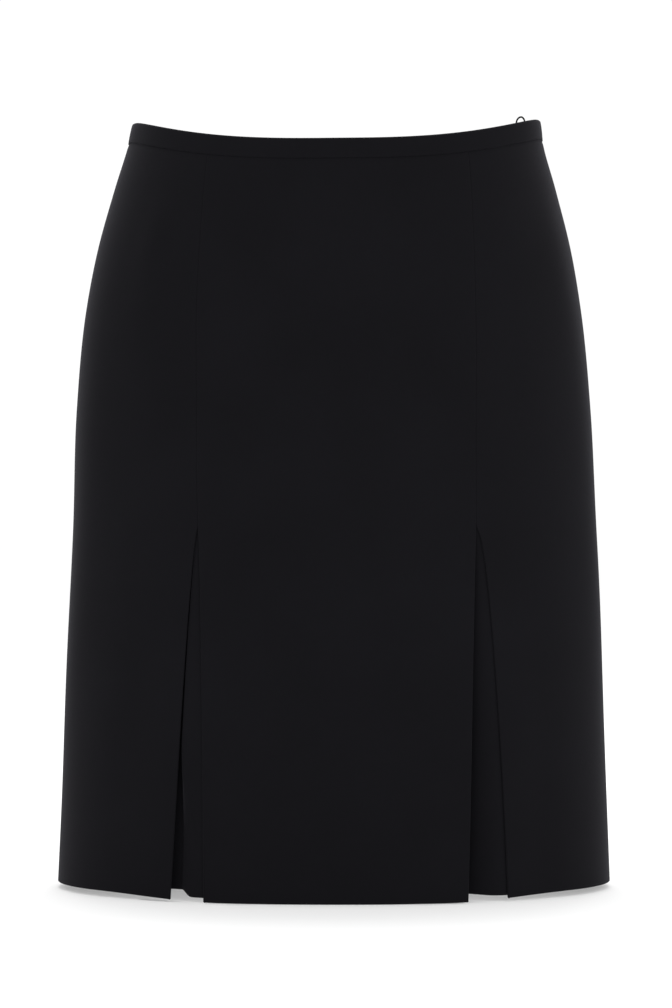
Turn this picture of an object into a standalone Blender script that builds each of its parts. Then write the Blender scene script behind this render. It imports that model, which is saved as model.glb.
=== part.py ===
"""A knee-length pencil skirt, filled out as when worn, with nobody in it.

Three front panels, two back panels and a three-piece waistband make a hollow tube of cloth. In each front
seam a pleat opens over an underlay. A concealed zip closes the centre back, and a thin cord loop stands
inside the waistband at the wearer's left. Metres, +Z up: the front faces -Y and the wearer's left is +X.
The origin is the centre of the waist opening, level with its edge at the sides.
"""

import math
from collections import namedtuple

import bpy
import numpy as np
from mathutils import Matrix, Vector

# ---- driving dimensions, in metres ----

WALL = 0.0012  # one layer of cloth
GAP = 0.0003  # left between pieces where they are sewn or lie on each other
LENGTH = 0.5446  # from the waist edge at the sides down to the hem

BAND_HEIGHT = 0.014
BAND_WALL = 0.0022  # the strip is folded, so it is two layers
BAND_SEAM = 0.0007  # from the band's edge to the panels': both walls lean, which leaves about the usual gap
BAND_PROUD = 0.0007  # how far the band stands out from the panels
BAND_BACK_END = 0.001  # from each back strip's end to the centre back, where the zip slider's neck passes

WAIST_DIP_FRONT = 0.0218  # how far the waist edge dips at the centre front
WAIST_DIP_BACK = 0.006
WAIST_DIP_POWER = 2.6
WAIST_TILT = 0.0087  # rise of the waist edge per metre towards the wearer's left
WAIST_SIDE_DIP = 0.0010  # how far the waist edge curls down at the side seams
WAIST_SIDE_SPAN = math.radians(10.0)
HEM_RISE = 0.0038  # how far the front hem rises away from the centre
HEM_RISE_FROM = 0.40  # where that rise starts and ends, in shares of the half width
HEM_RISE_TO = 0.85

# One row for each height where the garment's outline was measured. drop is down from the waist edge at the
# sides. The widths are half of the outline, the depths run from the middle to the front and to the back,
# middle_x is the outline's own middle, and seam_x is how far each front seam lies from it.
Section = namedtuple("Section", "drop half_width front_depth back_depth middle_x seam_x")
SECTIONS = (
    #       drop   half_width  front_depth  back_depth  middle_x  seam_x
    Section(0.000, 0.1448,     0.0980,      0.1040,      0.0018,  0.0885),
    Section(0.014, 0.1474,     0.1000,      0.1063,      0.0012,  0.0890),
    Section(0.048, 0.1572,     0.1060,      0.1120,      0.0006,  0.0915),
    Section(0.091, 0.1686,     0.1120,      0.1200,      0.0000,  0.0940),
    Section(0.134, 0.1764,     0.1150,      0.1260,     -0.0005,  0.0955),
    Section(0.205, 0.1832,     0.1160,      0.1290,     -0.0005,  0.0955),
    Section(0.289, 0.1862,     0.1160,      0.1270,      0.0000,  0.0955),
    Section(0.391, 0.1911,     0.1170,      0.1250,      0.0000,  0.0955),
    Section(0.477, 0.1943,     0.1190,      0.1250,      0.0000,  0.0955),
    Section(LENGTH, 0.1970,    0.1200,      0.1260,     -0.0003,  0.0955),
)

# The two pleats. They open from the same height down to the hem, deeper at the fold that lies towards -X.
PLEAT_TOP = 0.289
FOLD_RADIUS = 0.0015  # of the cloth's outer face round a fold
ALLOWANCE = 0.015  # seam allowance above the pleats, folded back behind its panel
ALLOWANCE_TRIM = 0.001  # how much lower than its panel an allowance starts at the waistband
RETURN_WIDTH = 0.028  # how far a pleat's fold runs back behind its panel
RETURN_FULL = 0.15  # share of the pleat's height where the return reaches that width
UNDERLAY_ABOVE = 0.012  # how far the underlay reaches above the pleat's top
UNDERLAY_MARGIN = 0.0005  # kept short of a return's own end
SEAM_SHIFT = 0.0018  # both front seams lie this much towards the wearer's left

# side is the seam's side. low and high are the folds towards -X and +X: how far each lies from the seam at
# the hem, and the power that the distance grows with. depth is how far the underlay lies inside beside the
# low fold at the hem. step_from and step_to are the shares of the opening between which its edge steps down
# there, and wide_from and wide_to the shares of the pleat's height over which that step moves out to them.
# short is how much shorter than the panels the underlay is, and deep_short how much more where it lies deep.
Pleat = namedtuple(
    "Pleat", "side low low_power high high_power depth step_from step_to wide_from wide_to short deep_short"
)
PLEATS = {
    "right": Pleat(-1, low=0.0185, low_power=0.7, high=0.0046, high_power=0.6, depth=0.009,
                   step_from=0.20, step_to=0.54, wide_from=0.56, wide_to=0.90,
                   short=0.003, deep_short=0.0044),
    "left": Pleat(+1, low=0.0052, low_power=0.9, high=0.0225, high_power=0.54, depth=0.016,
                  step_from=0.04, step_to=0.66, wide_from=-1.0, wide_to=0.0,
                  short=0.0036, deep_short=0.0008),
}
DEPTH_POWER = 0.8  # how a pleat's depth grows down to the hem
STEP_LEAST = 0.05  # share of the opening that the step takes at a pleat's top
STEP_TAIL = 1.7  # the cloth comes forward over this many times the step's width, fast and then slowly
STEP_EASE = 2.0

# How finely the cloth is divided.
ROWS_ABOVE = 8  # from a panel's top edge to the pleats' top
ROWS_BELOW = (0.05, 0.16, 0.34, 0.56, 0.78, 1.0)  # shares of the way from there to the hem
CENTRE_COLUMNS = 9
SIDE_COLUMNS = 8
BACK_COLUMNS = 11
BAND_FRONT_COLUMNS = 24
BAND_BACK_COLUMNS = 12
UNDERLAY_SHARES = (0.0, 0.16, 0.32, 0.48, 0.72, 1.0)  # of the way across the opening
FOLD_STEPS = 4  # round a fold
END_STEP = 0.2  # of a column's width, beside a cut edge
EDGE_PASSES = 5  # to settle where a row meets a fold
SHARP_ANGLE = math.radians(50.0)  # shaded as an edge above this
WELD = 0.00001  # points of a solid this close are one

# The zip at the centre back.
ZIP_LENGTH = 0.200
TAPE_WIDTH = 0.0115
TAPE_WALL = 0.001
TAPE_FROM_MIDDLE = 0.001
TAPE_DEPTH = BAND_WALL - BAND_PROUD + GAP  # its outer face lies just inside the waistband
TAPE_TOP = 0.0015  # below the waist edge
TAPE_ROWS = 10

SLIDER_LENGTH = 0.0085
SLIDER_DROP = 0.006  # of its middle, below the waist edge
SLIDER_PLATE_WIDTH = 0.005
SLIDER_PLATE = 0.0011
SLIDER_NECK = 0.0014
SLIDER_BODY_WIDTH = 0.0065
SLIDER_BODY = 0.002
SLIDER_DISH = 0.0002  # the plate and the body are thinner at the neck
BRIDGE_WIDTH = 0.0012
BRIDGE_LENGTH = 0.006
BRIDGE_WALL = 0.0008
BRIDGE_CLEAR = 0.0018  # under the bridge

PULL_AXIS_HEIGHT = 0.001  # above the slider's plate
PULL_WALL = 0.0008
PULL_LENGTH = 0.022
PULL_HEAD_WIDTH = 0.0038
PULL_TIP_WIDTH = 0.0056
PULL_WINDOW_WIDTH = 0.002
PULL_WINDOW_END = 0.0036  # below the axis
PULL_NECK_WIDTH = 0.0028
PULL_NECK_END = 0.0058
PULL_TIP_STEPS = 5  # round a quarter of its tip
PULL_LEAN = math.radians(5.0)  # it falls back from the plate's own lean onto the cloth

# The cord loop, by hand: along is how far it is towards the side from the loop's middle, and up is how far
# above the waist edge.
LOOP_DIAMETER = 0.0013
LOOP_X = 0.1330
LOOP_CLEAR = 0.0006  # from the waistband's inner face, which is flat between its columns
LoopPoint = namedtuple("LoopPoint", "along up")
LOOP_ROUTE = (
    LoopPoint(-0.0060, -0.0125),
    LoopPoint(-0.0063, -0.0090),
    LoopPoint(-0.0066, -0.0050),
    LoopPoint(-0.0064, -0.0018),
    LoopPoint(-0.0050, 0.0006),
    LoopPoint(-0.0022, 0.0024),
    LoopPoint(0.0013, 0.0032),
    LoopPoint(0.0042, 0.0023),
    LoopPoint(0.0056, 0.0000),
    LoopPoint(0.0057, -0.0030),
    LoopPoint(0.0053, -0.0060),
    LoopPoint(0.0050, -0.0095),
    LoopPoint(0.0048, -0.0125),
)
LOOP_STEPS = 2  # points of the tube for each of the route's

# ---- the garment's form ----


def at_drop(column, drop):
    """A column of SECTIONS at any height, on a smooth curve through its rows."""
    drops = np.array([section.drop for section in SECTIONS])
    values = np.array([getattr(section, column) for section in SECTIONS])
    slopes = np.gradient(values, drops)
    low = int(np.clip(np.searchsorted(drops, drop) - 1, 0, len(drops) - 2))
    span = drops[low + 1] - drops[low]
    share = (drop - drops[low]) / span
    if share < 0 or share > 1:
        end = 0 if share < 0 else -1
        return float(values[end] + slopes[end] * (drop - drops[end]))
    start = (1 + 2 * share) * (1 - share) ** 2 * values[low] + share * (1 - share) ** 2 * span * slopes[low]
    finish = share**2 * (3 - 2 * share) * values[low + 1] - share**2 * (1 - share) * span * slopes[low + 1]
    return float(start + finish)


def smooth_step(value, low, high):
    share = min(max((value - low) / (high - low), 0.0), 1.0)
    return share * share * (3 - 2 * share)


def half_depth(turn, drop):
    return at_drop("front_depth" if math.cos(turn) > 0 else "back_depth", drop)


def wall_point(turn, drop, depth=0.0):
    """A point of the garment's outer face, or depth inside it. turn is 0 at the centre front and a quarter
    turn at the wearer's left side."""
    wide = at_drop("half_width", drop)
    deep = half_depth(turn, drop)
    normal = Vector((math.sin(turn) / wide, -math.cos(turn) / deep, 0)).normalized()
    face = Vector((at_drop("middle_x", drop) + wide * math.sin(turn), -deep * math.cos(turn), -drop))
    return face - normal * depth


def turn_for(distance, turn, drop):
    """The change of turn that moves a point that far along the garment's outline."""
    wide = at_drop("half_width", drop)
    return distance / math.hypot(wide * math.cos(turn), half_depth(turn, drop) * math.sin(turn))


def turn_at(x, drop):
    """The turn of the front's point that lies x from the outline's middle."""
    return math.asin(x / at_drop("half_width", drop))


def waist_drop(turn):
    """How far the waist's edge lies below its height at the sides."""
    dip = WAIST_DIP_FRONT if math.cos(turn) > 0 else WAIST_DIP_BACK
    across = math.sin(turn)
    curl = WAIST_SIDE_DIP * math.exp(-(((abs(turn) - math.pi / 2) / WAIST_SIDE_SPAN) ** 2))
    return dip * (1 - abs(across) ** WAIST_DIP_POWER) - WAIST_TILT * SECTIONS[0].half_width * across + curl


def panel_top(turn):
    return waist_drop(turn) + BAND_HEIGHT + BAND_SEAM


def hem_drop(turn):
    if math.cos(turn) <= 0:
        return LENGTH - HEM_RISE
    return LENGTH - HEM_RISE * smooth_step(abs(math.sin(turn)), HEM_RISE_FROM, HEM_RISE_TO)


# ---- cloth ----


def new_material(name, color, roughness, metallic=0.0):
    material = bpy.data.materials.new(name)
    material.use_nodes = True
    shader = material.node_tree.nodes["Principled BSDF"]
    shader.inputs["Base Color"].default_value = (*color, 1.0)
    shader.inputs["Roughness"].default_value = roughness
    shader.inputs["Metallic"].default_value = metallic
    return material


def add_object(name, data, material):
    data.materials.append(material)
    made = bpy.data.objects.new(name, data)
    skirt.objects.link(made)
    return made


def cloth(name, rows, wall=WALL):
    """A piece of cloth: rows of points on its outer face, top row first and each row running from -X round
    the front to +X, with the thickness inside."""
    across = len(rows[0])
    points = [tuple(point) for row in rows for point in row]
    corners = [row * across + column for row in range(len(rows) - 1) for column in range(across - 1)]
    faces = [(corner, corner + across, corner + across + 1, corner + 1) for corner in corners]
    mesh = bpy.data.meshes.new(name)
    mesh.from_pydata(points, [], faces)
    made = add_object(name, mesh, cloth_material)
    mesh.shade_smooth()
    mesh.set_sharp_from_angle(angle=SHARP_ANGLE)
    solidify = made.modifiers.new("thickness", "SOLIDIFY")
    solidify.thickness = wall
    solidify.offset = -1
    solidify.use_even_offset = True
    solidify.use_quality_normals = True
    return made


def panel_drops(turn, share_above=None, share_below=None):
    """The drop of a panel's row at a turn: that share of the way to the pleats' top, or on to the hem."""
    if share_below is None:
        return panel_top(turn) + share_above * (PLEAT_TOP - panel_top(turn))
    return PLEAT_TOP + share_below * (hem_drop(turn) - PLEAT_TOP)


PANEL_ROWS = [(step / ROWS_ABOVE, None) for step in range(ROWS_ABOVE + 1)]
PANEL_ROWS += [(None, share) for share in ROWS_BELOW]


def pleat_share(drop):
    """How far down a pleat a height is, from 0 at its top to 1 at the hem."""
    return min(max((drop - PLEAT_TOP) / (LENGTH - PLEAT_TOP), 0.0), 1.0)


def pleat_depth(pleat, drop):
    """How far inside the deep fold's return ends."""
    flat = 2 * FOLD_RADIUS
    return flat + (pleat.depth - flat) * pleat_share(drop) ** DEPTH_POWER


def return_width(drop):
    return ALLOWANCE + (RETURN_WIDTH - ALLOWANCE) * smooth_step(pleat_share(drop), 0.0, RETURN_FULL)


def fold_turn(pleat, low, drop):
    """The turn of a pleat's fold, or of the seam's edge above it: low is the fold towards -X."""
    share = pleat_share(drop)
    opening = pleat.low * share**pleat.low_power if low else pleat.high * share**pleat.high_power
    away = (opening + GAP / 2) * (-1 if low else 1)
    return turn_at(pleat.side * at_drop("seam_x", drop) + SEAM_SHIFT + away, drop)


def edge_drop(pleat, low, shares):
    """The drop of a row where it meets a pleat's fold, which the fold's own place depends on."""
    drop = panel_drops(pleat.side * math.pi / 4, *shares)
    for _ in range(EDGE_PASSES):
        drop = panel_drops(fold_turn(pleat, low, drop), *shares)
    return drop


def fold(pleat, low, shares):
    """The points of a row along a return and round its fold, from the return's end to the flat panel."""
    drop = edge_drop(pleat, low, shares)
    edge = fold_turn(pleat, low, drop)
    into_panel = -1 if low else 1
    flat = 2 * FOLD_RADIUS
    deepest = pleat_depth(pleat, drop) if low else flat
    width = return_width(drop)
    third = FOLD_RADIUS + (width - FOLD_RADIUS) / 3
    profile = [(width, deepest), (third, flat + (deepest - flat) / 3)]
    for step in range(FOLD_STEPS + 1):
        angle = math.pi * (0.5 - step / FOLD_STEPS)
        profile.append((FOLD_RADIUS * (1 - math.cos(angle)), FOLD_RADIUS * (1 + math.sin(angle))))
    trimmed = ALLOWANCE_TRIM * (1 - shares[0]) if shares[1] is None else 0.0
    points = []
    for along, depth in profile:
        turn = edge + into_panel * turn_for(along, edge, drop)
        lowered = trimmed * min(depth / flat, 1.0)
        points.append(wall_point(turn, panel_drops(turn, *shares) + lowered, depth))
    return points


def spread_turns(first, last, columns):
    """Turns from one to another. A short step at each end keeps the cut edges square to the outline."""
    short = END_STEP / columns
    steps = [0.0, short, *(column / columns for column in range(1, columns)), 1 - short, 1.0]
    return [first + (last - first) * step for step in steps]


def flat_part(first, last, columns, shares):
    """A row's points strictly between two turns."""
    turns = spread_turns(first, last, columns)[1:-1]
    return [wall_point(turn, panel_drops(turn, *shares)) for turn in turns]


def make_front_centre():
    right, left = PLEATS["right"], PLEATS["left"]
    rows = []
    for shares in PANEL_ROWS:
        first = fold_turn(right, False, edge_drop(right, False, shares))
        last = fold_turn(left, True, edge_drop(left, True, shares))
        middle = flat_part(first, last, CENTRE_COLUMNS, shares)
        rows.append(fold(right, False, shares) + middle + fold(left, True, shares)[::-1])
    return cloth("front_panel_centre", rows)


def make_front_side(name):
    """The panel from a pleat to the side seam, wearer's left or right."""
    pleat = PLEATS[name]
    low = pleat.side < 0
    rows = []
    for shares in PANEL_ROWS:
        edge = fold_turn(pleat, low, edge_drop(pleat, low, shares))
        seam = pleat.side * math.pi / 2
        seam_drop = panel_drops(seam, *shares)
        seam -= pleat.side * turn_for(GAP / 2, seam, seam_drop)
        row = fold(pleat, low, shares) + flat_part(edge, seam, SIDE_COLUMNS, shares)
        row.append(wall_point(seam, seam_drop))
        rows.append(row if pleat.side > 0 else row[::-1])
    return cloth(f"front_panel_{name}", rows)


def come_forward(across, first, last):
    """How far an underlay has come forward from its depth, from 0 at first to 1 some way past last."""
    end = min(first + STEP_TAIL * (last - first), 1.0)
    share = min(max((across - first) / (end - first), 0.0), 1.0)
    return 1 - (1 - share) ** STEP_EASE


def make_underlay(name):
    """The piece behind a pleat, from the end of one return to the end of the other."""
    pleat = PLEATS[name]
    rows = []
    height = LENGTH - pleat.short - PLEAT_TOP
    drops = [PLEAT_TOP - UNDERLAY_ABOVE, *(PLEAT_TOP + share * height for share in (0.0, *ROWS_BELOW))]
    for drop in drops:
        low, high = fold_turn(pleat, True, drop), fold_turn(pleat, False, drop)
        ends = return_width(drop) - UNDERLAY_MARGIN
        deep = pleat_depth(pleat, drop) + GAP
        flat = 2 * FOLD_RADIUS + GAP
        raised = pleat.deep_short * pleat_share(drop)
        row = [wall_point(low - turn_for(ends, low, drop), drop - raised, deep)]
        wide = smooth_step(pleat_share(drop), pleat.wide_from, pleat.wide_to)
        first, last = pleat.step_from * wide, pleat.step_to * wide + STEP_LEAST
        for across in UNDERLAY_SHARES:
            lowered = smooth_step(across, first, last)
            depth = deep + (flat - deep) * come_forward(across, first, last)
            row.append(wall_point(low + (high - low) * across, drop - raised * (1 - lowered), depth))
        row.append(wall_point(high + turn_for(ends, high, drop), drop, flat))
        rows.append(row)
    return cloth(f"pleat_underlay_{name}", rows)


def make_back(name, side):
    """The back panel between a side seam and the centre back."""
    rows = []
    for shares in PANEL_ROWS:
        seam, middle = side * math.pi / 2, side * math.pi
        seam += side * turn_for(GAP / 2, seam, panel_drops(seam, *shares))
        middle -= side * turn_for(GAP / 2, middle, panel_drops(middle, *shares))
        turns = spread_turns(seam, middle, BACK_COLUMNS)
        row = [wall_point(turn, panel_drops(turn, *shares)) for turn in turns]
        rows.append(row if side > 0 else row[::-1])
    return cloth(f"back_panel_{name}", rows)


def make_band(name, first, last, columns):
    """A strip of the waistband, from one turn to another."""
    rows = []
    turns = spread_turns(first, last, columns)
    for lower in (0.0, BAND_HEIGHT / 2, BAND_HEIGHT):
        rows.append([wall_point(turn, waist_drop(turn) + lower, -BAND_PROUD) for turn in turns])
    return cloth(f"waistband_{name}", rows, BAND_WALL)


def make_waistband():
    quarter = math.pi / 2
    seam_gap = turn_for(GAP / 2, quarter, 0.0)
    back_end = turn_for(BAND_BACK_END, math.pi, 0.0)
    make_band("front", seam_gap - quarter, quarter - seam_gap, BAND_FRONT_COLUMNS)
    make_band("back_left", quarter + seam_gap, math.pi - back_end, BAND_BACK_COLUMNS)
    make_band("back_right", back_end - math.pi, -quarter - seam_gap, BAND_BACK_COLUMNS)


# ---- zip ----


def make_tape(name, side):
    """One side of the zip's tape, inside the centre back."""
    rows = []
    for step in range(TAPE_ROWS + 1):
        row = []
        for along in (TAPE_FROM_MIDDLE, TAPE_FROM_MIDDLE + TAPE_WIDTH):
            drop = waist_drop(math.pi) + TAPE_TOP + ZIP_LENGTH * step / TAPE_ROWS
            turn = side * (math.pi - turn_for(along, math.pi, drop))
            row.append(wall_point(turn, drop, TAPE_DEPTH))
        rows.append(row[::-1] if side > 0 else row)
    made = cloth(f"zip_tape_{name}", rows, TAPE_WALL)
    made.data.materials[0] = tape_material
    return made


def outline_solid(name, outlines, thickness, material):
    """A flat outline, with any holes in it, given a thickness about its own plane."""
    curve = bpy.data.curves.new(name, "CURVE")
    curve.dimensions = "2D"
    curve.fill_mode = "BOTH"
    curve.extrude = thickness / 2
    for outline in outlines:
        spline = curve.splines.new("POLY")
        spline.points.add(len(outline) - 1)
        for point, (x, y) in zip(spline.points, outline):
            point.co = (x, y, 0, 1)
        spline.use_cyclic_u = True
    drawn = bpy.data.objects.new(name, curve)
    skirt.objects.link(drawn)
    mesh = bpy.data.meshes.new_from_object(drawn.evaluated_get(bpy.context.evaluated_depsgraph_get()))
    bpy.data.objects.remove(drawn)
    bpy.data.curves.remove(curve)
    mesh.name = name
    mesh.materials.clear()
    made = add_object(name, mesh, material)
    weld = made.modifiers.new("weld", "WELD")
    weld.merge_threshold = WELD
    return made


def slider_frame():
    """The slider's place on the cloth's face: X across, Y up along the back and Z out of the cloth."""
    drop = waist_drop(math.pi) + SLIDER_DROP
    place = wall_point(math.pi, drop)
    top, bottom = (wall_point(math.pi, drop + end * SLIDER_LENGTH / 2) for end in (-1, 1))
    up = (top - bottom).normalized()
    across = Vector((-1, 0, 0))
    out = across.cross(up)
    return Matrix.Translation(place) @ Matrix((across, up, out)).transposed().to_4x4()


def baked(made, matrix):
    """The object with its modifiers applied and its points moved by a matrix."""
    mesh = bpy.data.meshes.new_from_object(made.evaluated_get(bpy.context.evaluated_depsgraph_get()))
    mesh.name = made.name
    mesh.transform(matrix)
    made.modifiers.clear()
    made.data = mesh
    return made


def make_slider():
    """A plate outside, a neck between the waistband's ends, a body inside, and a bridge over the plate."""
    outside = BAND_PROUD + GAP
    inside = TAPE_DEPTH + TAPE_WALL + GAP
    half_plate, half_neck, half_body = SLIDER_PLATE_WIDTH / 2, SLIDER_NECK / 2, SLIDER_BODY_WIDTH / 2
    half = [
        (half_plate, outside + SLIDER_PLATE),
        (half_plate, outside),
        (half_neck, outside + SLIDER_DISH),
        (half_neck, -inside - SLIDER_DISH),
        (half_body, -inside),
        (half_body, -inside - SLIDER_BODY),
    ]
    section = half + [(-x, out) for x, out in half[::-1]]
    slider = outline_solid("zip_slider", [section], SLIDER_LENGTH, metal_material)
    upright = Matrix.Rotation(math.radians(90), 4, "X")  # the section's plane stood across the zip
    baked(slider, slider_frame() @ upright)

    plate = outside + SLIDER_PLATE
    long, rise = BRIDGE_LENGTH / 2, BRIDGE_CLEAR + BRIDGE_WALL
    arch = [
        (-long, plate - SLIDER_PLATE / 2),
        (-long, plate + rise - BRIDGE_WALL),
        (-long + BRIDGE_WALL, plate + rise),
        (long - BRIDGE_WALL, plate + rise),
        (long, plate + rise - BRIDGE_WALL),
        (long, plate - SLIDER_PLATE / 2),
        (long - BRIDGE_WALL, plate - SLIDER_PLATE / 2),
        (long - BRIDGE_WALL, plate + BRIDGE_CLEAR),
        (-long + BRIDGE_WALL, plate + BRIDGE_CLEAR),
        (-long + BRIDGE_WALL, plate - SLIDER_PLATE / 2),
    ]
    bridge = outline_solid("bridge", [arch], BRIDGE_WIDTH, metal_material)
    along_zip = Matrix(((0, 0, 1), (1, 0, 0), (0, 1, 0))).to_4x4()  # the arch's plane stood along the zip
    baked(bridge, slider_frame() @ along_zip)
    join = slider.modifiers.new("join", "BOOLEAN")
    join.operation = "UNION"
    join.object = bridge
    baked(slider, Matrix.Identity(4))
    bpy.data.objects.remove(bridge)
    return slider


def make_pull():
    """The pull tab, hung by the bar above its window under the bridge. Its origin is on that bar."""
    bar = PULL_WALL / 2
    head, neck, tip = PULL_HEAD_WIDTH / 2, PULL_NECK_WIDTH / 2, PULL_TIP_WIDTH / 2
    end = PULL_LENGTH - tip
    half = [(head - bar, bar), (head, 0.0), (head, -PULL_WINDOW_END), (neck, -PULL_NECK_END), (tip, -end)]
    for step in range(1, PULL_TIP_STEPS):
        angle = math.radians(90) * step / PULL_TIP_STEPS
        half.append((tip * math.cos(angle), -end - tip * math.sin(angle)))
    outline = half + [(0.0, -PULL_LENGTH)] + [(-x, y) for x, y in half[::-1]]
    wide = PULL_WINDOW_WIDTH / 2
    window = [(-wide, -bar), (wide, -bar), (wide, -PULL_WINDOW_END), (-wide, -PULL_WINDOW_END)]
    pull = outline_solid("zip_pull", [outline, window], PULL_WALL, metal_material)
    baked(pull, Matrix.Identity(4))
    height = BAND_PROUD + GAP + SLIDER_PLATE + PULL_AXIS_HEIGHT
    axis = bpy.data.objects.new("zip_pull_axis", None)
    skirt.objects.link(axis)
    axis.empty_display_size = PULL_LENGTH / 4
    raised = Matrix.Translation((0, 0, height))
    axis.matrix_world = slider_frame() @ raised @ Matrix.Rotation(PULL_LEAN, 4, "X")
    pull.parent = axis
    return pull


# ---- cord loop ----


def smooth_route(points, steps):
    """Points on a smooth curve through the given ones, steps of them for each stretch."""
    padded = [2 * points[0] - points[1], *points, 2 * points[-1] - points[-2]]
    found = []
    for before, start, finish, after in zip(padded, padded[1:], padded[2:], padded[3:]):
        for step in range(steps):
            share = step / steps
            found.append(
                0.5 * ((2 * start) + (finish - before) * share
                       + (2 * before - 5 * start + 4 * finish - after) * share**2
                       + (3 * start - before - 3 * finish + after) * share**3)
            )
    return [*found, points[-1]]


def make_loop():
    """The cord stands just inside the waistband, both ends held at the band's lower edge."""
    middle = turn_at(LOOP_X - SECTIONS[0].middle_x, 0.0)
    depth = BAND_WALL - BAND_PROUD + LOOP_CLEAR + LOOP_DIAMETER / 2
    route = []
    for point in LOOP_ROUTE:
        turn = middle + turn_for(point.along, middle, 0.0)
        drop = waist_drop(middle) - point.up
        route.append(wall_point(turn, drop, depth))
    points = smooth_route(route, LOOP_STEPS)
    curve = bpy.data.curves.new("hanger_loop", "CURVE")
    curve.dimensions = "3D"
    curve.bevel_depth = LOOP_DIAMETER / 2
    curve.bevel_resolution = 2
    curve.use_fill_caps = True
    spline = curve.splines.new("POLY")
    spline.points.add(len(points) - 1)
    for made, point in zip(spline.points, points):
        made.co = (*point, 1)
    return add_object("hanger_loop", curve, cord_material)


# ---- the whole skirt ----

for old in list(bpy.data.objects):
    bpy.data.objects.remove(old, do_unlink=True)

skirt = bpy.data.collections.new("pencil_skirt")
bpy.context.scene.collection.children.link(skirt)

cloth_material = new_material("black_suiting", (0.011, 0.011, 0.013), 0.85)
tape_material = new_material("zip_tape_weave", (0.012, 0.012, 0.013), 0.7)
metal_material = new_material("black_lacquered_metal", (0.015, 0.015, 0.017), 0.3, 0.4)
cord_material = new_material("black_cord", (0.01, 0.01, 0.011), 0.6)

make_front_centre()
for wearer_side, across_sign in (("left", 1), ("right", -1)):
    make_front_side(wearer_side)
    make_underlay(wearer_side)
    make_back(wearer_side, across_sign)
    make_tape(wearer_side, across_sign)
make_waistband()
make_slider()
make_pull()
make_loop()
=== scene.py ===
"""Looks of the pencil skirt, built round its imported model.

Every piece of cloth is a thin shell on the garment's own form: the form's driving sizes are repeated
here, on finer grids, with turned hems, pressed folds, seam allowances and soft creases. Metres, +Z up,
the front faces -Y and the wearer's left is +X. A place on the cloth is a turn, 0 at the centre front and
a quarter turn at the wearer's left side, a drop below the waist edge at the sides, and a depth inside the
outer face.
"""

import math
from collections import namedtuple

import bpy
import numpy as np
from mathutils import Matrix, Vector


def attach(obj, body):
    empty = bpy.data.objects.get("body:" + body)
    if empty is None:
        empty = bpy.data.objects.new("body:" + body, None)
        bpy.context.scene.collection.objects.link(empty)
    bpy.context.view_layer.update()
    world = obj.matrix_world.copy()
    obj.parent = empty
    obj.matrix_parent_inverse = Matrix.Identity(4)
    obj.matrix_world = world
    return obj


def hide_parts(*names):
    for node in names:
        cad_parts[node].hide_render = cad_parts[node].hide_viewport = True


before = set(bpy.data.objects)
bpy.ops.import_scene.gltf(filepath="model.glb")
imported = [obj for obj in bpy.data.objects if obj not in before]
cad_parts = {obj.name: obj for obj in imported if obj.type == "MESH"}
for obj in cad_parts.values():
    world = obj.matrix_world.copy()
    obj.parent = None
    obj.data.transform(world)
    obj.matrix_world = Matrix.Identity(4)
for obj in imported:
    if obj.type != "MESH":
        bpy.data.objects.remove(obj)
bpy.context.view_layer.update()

# ---- camera ----

PHOTO_HEIGHT = 0.720  # metres that the picture shows at the skirt's middle
CAMERA_DISTANCE = 2.4
CAMERA_X = 0.0012
CAMERA_Z = -0.2725
SENSOR = 0.036

camera_data = bpy.data.cameras.new("camera")
camera_data.sensor_width = SENSOR * 1000
camera_data.lens = SENSOR * 1000 * CAMERA_DISTANCE / PHOTO_HEIGHT
camera_data.clip_start = 0.05
camera_data.clip_end = 100
camera = bpy.data.objects.new("camera", camera_data)
camera.location = (CAMERA_X, -CAMERA_DISTANCE, CAMERA_Z)
camera.rotation_euler = (math.radians(90), 0, 0)
bpy.context.scene.collection.objects.link(camera)
bpy.context.scene.camera = camera

# ---- the garment's driving sizes, as in the CAD ----

LENGTH = 0.5446
GAP = 0.0003
BAND_HEIGHT = 0.014
BAND_PROUD = 0.0007
BAND_WALL = 0.0022
BAND_BACK_END = 0.001
WAIST_DIP_FRONT = 0.0218
WAIST_DIP_BACK = 0.006
WAIST_DIP_POWER = 2.6
WAIST_TILT = 0.0087
WAIST_SIDE_DIP = 0.0010
WAIST_SIDE_SPAN = math.radians(10.0)
HEM_RISE = 0.0038
HEM_RISE_FROM = 0.40
HEM_RISE_TO = 0.85

Section = namedtuple("Section", "drop half_width front_depth back_depth middle_x seam_x")
SECTIONS = (
    #       drop   half_width  front_depth  back_depth  middle_x  seam_x
    Section(0.000, 0.1448,     0.0980,      0.1040,      0.0018,  0.0885),
    Section(0.014, 0.1474,     0.1000,      0.1063,      0.0012,  0.0890),
    Section(0.048, 0.1572,     0.1060,      0.1120,      0.0006,  0.0915),
    Section(0.091, 0.1686,     0.1120,      0.1200,      0.0000,  0.0940),
    Section(0.134, 0.1764,     0.1150,      0.1260,     -0.0005,  0.0955),
    Section(0.205, 0.1832,     0.1160,      0.1290,     -0.0005,  0.0955),
    Section(0.289, 0.1862,     0.1160,      0.1270,      0.0000,  0.0955),
    Section(0.391, 0.1911,     0.1170,      0.1250,      0.0000,  0.0955),
    Section(0.477, 0.1943,     0.1190,      0.1250,      0.0000,  0.0955),
    Section(LENGTH, 0.1970,    0.1200,      0.1260,     -0.0003,  0.0955),
)

PLEAT_TOP = 0.289
ALLOWANCE = 0.015
RETURN_WIDTH = 0.028
RETURN_FULL = 0.15
UNDERLAY_ABOVE = 0.012
UNDERLAY_MARGIN = 0.0005
SEAM_SHIFT = 0.0018
DEPTH_POWER = 0.8
STEP_LEAST = 0.05
STEP_TAIL = 1.7
STEP_EASE = 2.0

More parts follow.
